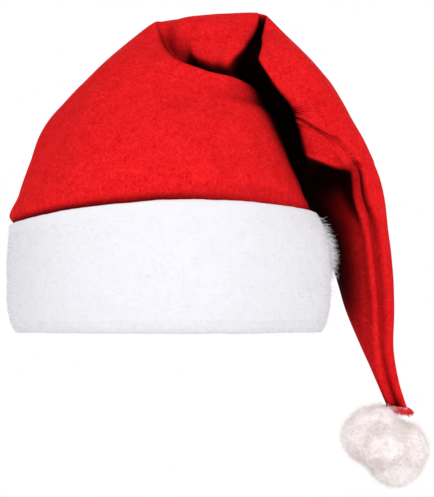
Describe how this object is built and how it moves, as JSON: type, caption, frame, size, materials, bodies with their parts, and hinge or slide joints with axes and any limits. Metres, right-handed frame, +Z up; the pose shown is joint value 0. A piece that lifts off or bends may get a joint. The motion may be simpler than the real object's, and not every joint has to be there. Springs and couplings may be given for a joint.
{
  "type": "santa hat",
  "caption": "Soft red felt santa hat with a white plush band, its crown folded over to one side into a long hanging tail that ends in a white plush pompom.",
  "frame": {"origin": "middle of the head opening, level with the band's lower edge", "axes": "+Z up towards the top of the crown, -Y towards the front of the hat, +X to the wearer's left, where the tail and pompom hang"},
  "size_m": [0.266, 0.1728, 0.2999],
  "materials": {
    "red_felt": "matte felt of short red fibres",
    "white_plush": "matte white short plush",
    "pompom_plush": "matte white long plush"
  },
  "bodies": {
    "root": {"crown_front": "red_felt", "crown_back": "red_felt", "band": "white_plush", "pompom": "pompom_plush"}
  },
  "joints": []
}
